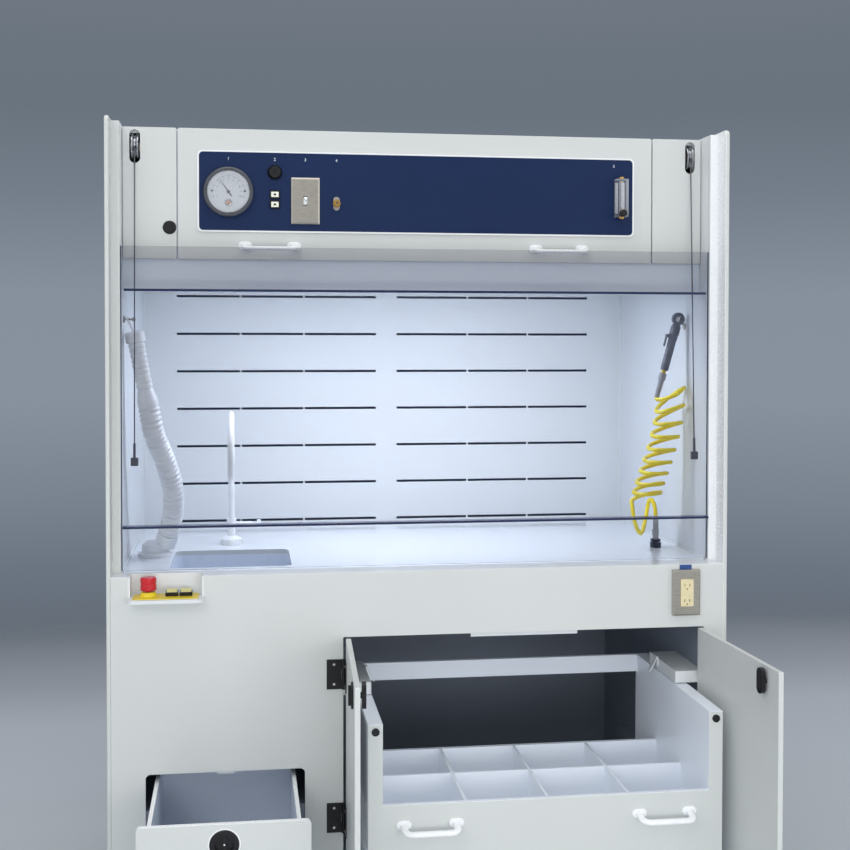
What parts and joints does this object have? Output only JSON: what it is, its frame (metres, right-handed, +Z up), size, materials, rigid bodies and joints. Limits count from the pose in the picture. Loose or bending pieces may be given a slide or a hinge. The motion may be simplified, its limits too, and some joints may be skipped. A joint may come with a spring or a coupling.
{
  "type": "wet bench",
  "caption": "Vented wet bench: sliding clear sash and slotted back over a deck with sink, faucet, hoses and controls, on a cabinet with doors, bottle drawer and small drawer.",
  "frame": {"origin": "floor level at the centre of the whole bench's box as it stands, doors and drawers open", "axes": "+Z up, -Y out of the front, +X to the right seen from the front"},
  "size_m": [1.524, 1.3704, 2.051],
  "materials": {
    "pp_body": "satin light grey polypropylene sheet",
    "pp_white": "satin white polypropylene sheet",
    "pp_inner": "satin grey polypropylene sheet",
    "clear_sash": "clear tinted sheet",
    "clear": "clear moulded plastic",
    "navy": "matt navy panel",
    "black": "black plastic",
    "steel": "brushed stainless steel",
    "aluminium": "plain aluminium",
    "brass": "polished brass",
    "gauge_white": "black case with a white dial",
    "red": "gloss red plastic",
    "yellow": "gloss yellow plastic",
    "ivory": "ivory plastic",
    "cream": "cream rocker plastic",
    "amber": "pale signal lens",
    "milky": "translucent milky plastic",
    "dark_grey": "dark grey plastic",
    "yellow_hose": "yellow coiled hose",
    "lamp": "light housing with a diffuser",
    "cable": "steel cable"
  },
  "bodies": {
    "bench": {"side_panels": "pp_body", "hood_walls": "pp_body", "header_frame": "pp_white", "hood_roof": "pp_body", "side_covers": "pp_body", "centre_cover": "pp_body", "control_panel": "navy", "cover_handles": "pp_body", "gauge_case": "gauge_white", "steel_plates": "steel", "outlet": "ivory", "brass_fittings": "brass", "clear_fittings": "clear", "spring_reels": "steel", "hood_light": "lamp", "back_baffle": "pp_white", "deck": "pp_white", "sink": "pp_white", "apron": "pp_body", "cabinet_sheets": "pp_inner", "strikes": "pp_white", "levelling_feet": "black", "apron_hinges": "black", "slide_channels": "pp_inner", "stop_station": "pp_white", "stop_mark_plate": "yellow", "black_fittings": "black", "tool_hooks": "steel", "faucet_body": "milky", "hand_piece": "milky", "ribbed_hose": "milky", "hose_elbow": "milky", "coil_fitting": "black", "coil_hose": "yellow_hose", "air_gun": "dark_grey"},
    "sash": {"sash_pane": "clear_sash", "sash_ledges": "clear", "sash_clevises": "pp_white", "sash_cables": "cable"},
    "drums": {"sash_drums": "aluminium"},
    "gauge_pointer": {"gauge_needle": "black"},
    "upper_button": {"button_upper": "amber"},
    "lower_button": {"button_lower": "amber"},
    "toggle": {"toggle_lever": "pp_white"},
    "flow_valve": {"flow_knob": "black"},
    "left_door": {"door_left": "pp_body"},
    "left_latch": {"latch_left": "black"},
    "right_door": {"door_right": "pp_body"},
    "right_latch": {"latch_right": "black"},
    "bottle_tray": {"bottle_drawer": "pp_inner", "bottle_drawer_handles": "pp_body", "drawer_caps": "black"},
    "small_tray": {"small_drawer": "pp_body"},
    "tray_latch": {"ring_latch": "black"},
    "stop_head": {"stop_button": "red"},
    "left_rocker": {"rocker_left": "cream"},
    "right_rocker": {"rocker_right": "cream"},
    "spout": {"faucet_spout": "milky"},
    "water_valve": {"faucet_knob": "milky"},
    "gun_lever": {"air_gun_lever": "dark_grey"}
  },
  "joints": [
    {"name": "sash_lift", "type": "slide", "parent": "bench", "child": "sash", "axis": [0, 0, 1], "range_m": [0, 0.45], "deforming": ["sash_cables"]},
    {"name": "drum_turn", "type": "hinge", "parent": "bench", "child": "drums", "pos_m": [0, -0.08384, 1.944], "axis": [1, 0, 0], "range_deg": [-820, 0]},
    {"name": "pointer_swing", "type": "hinge", "parent": "bench", "child": "gauge_pointer", "pos_m": [-0.476, -0.12334, 1.836], "axis": [0, 1, 0], "range_deg": [-90, 160]},
    {"name": "upper_button_press", "type": "slide", "parent": "bench", "child": "upper_button", "axis": [0, 1, 0], "range_m": [0, 0.003], "stiffness_N_per_m": 300},
    {"name": "lower_button_press", "type": "slide", "parent": "bench", "child": "lower_button", "axis": [0, 1, 0], "range_m": [0, 0.003], "stiffness_N_per_m": 300},
    {"name": "toggle_flip", "type": "hinge", "parent": "bench", "child": "toggle", "pos_m": [-0.288, -0.10714, 1.817], "axis": [1, 0, 0], "range_deg": [0, 26]},
    {"name": "flow_valve_turn", "type": "hinge", "parent": "bench", "child": "flow_valve", "pos_m": [0.513, -0.14134, 1.796], "axis": [0, 1, 0], "range_deg": [0, 720]},
    {"name": "left_door_swing", "type": "hinge", "parent": "bench", "child": "left_door", "pos_m": [-0.203, -0.23634, 0.46], "axis": [0, 0, 1], "range_deg": [-9.5, 2]},
    {"name": "left_latch_turn", "type": "hinge", "parent": "left_door", "child": "left_latch", "pos_m": [-0.21349, -0.62223, 0.722], "axis": [0.9992, -0.0401, 0], "range_deg": [0, 90]},
    {"name": "right_door_swing", "type": "hinge", "parent": "bench", "child": "right_door", "pos_m": [0.701, -0.23634, 0.46], "axis": [0, 0, 1], "range_deg": [-3, 82]},
    {"name": "right_latch_turn", "type": "hinge", "parent": "right_door", "child": "right_latch", "pos_m": [0.71352, -0.62217, 0.722], "axis": [-0.999, -0.0454, 0], "range_deg": [0, 90]},
    {"name": "bottle_drawer_slide", "type": "slide", "parent": "bench", "child": "bottle_tray", "axis": [0, -1, 0], "range_m": [-0.291, 0.157]},
    {"name": "small_drawer_slide", "type": "slide", "parent": "bench", "child": "small_tray", "axis": [0, -1, 0], "range_m": [-0.3355, 0.08]},
    {"name": "ring_latch_turn", "type": "hinge", "parent": "small_tray", "child": "tray_latch", "pos_m": [-0.4845, -0.56734, 0.396], "axis": [0, 1, 0], "range_deg": [0, 90]},
    {"name": "stop_press", "type": "slide", "parent": "bench", "child": "stop_head", "axis": [0, 0, 1], "range_m": [-0.004, 0], "stiffness_N_per_m": 600, "springref_m": 0.002},
    {"name": "left_rocker_tip", "type": "hinge", "parent": "bench", "child": "left_rocker", "pos_m": [-0.61, -0.22234, 0.874], "axis": [1, 0, 0], "range_deg": [-16, 0]},
    {"name": "right_rocker_tip", "type": "hinge", "parent": "bench", "child": "right_rocker", "pos_m": [-0.577, -0.22234, 0.874], "axis": [1, 0, 0], "range_deg": [-16, 0]},
    {"name": "spout_swivel", "type": "hinge", "parent": "bench", "child": "spout", "pos_m": [-0.473, 0.24466, 0.966], "axis": [0, 0, 1], "range_deg": [-60, 60]},
    {"name": "water_valve_turn", "type": "hinge", "parent": "bench", "child": "water_valve", "pos_m": [-0.41, 0.24466, 0.97], "axis": [1, 0, 0], "range_deg": [0, 270]},
    {"name": "gun_lever_press", "type": "hinge", "parent": "bench", "child": "gun_lever", "pos_m": [0.6772, -0.01034, 1.48726], "axis": [0, 1, 0], "range_deg": [-8, 0], "stiffness_Nm_per_rad": 0.3, "springref_deg": 2.86}
  ],
  "couplings": [
    {"joint": "drum_turn", "follows": "sash_lift", "rad_per_m": -31.746}
  ]
}
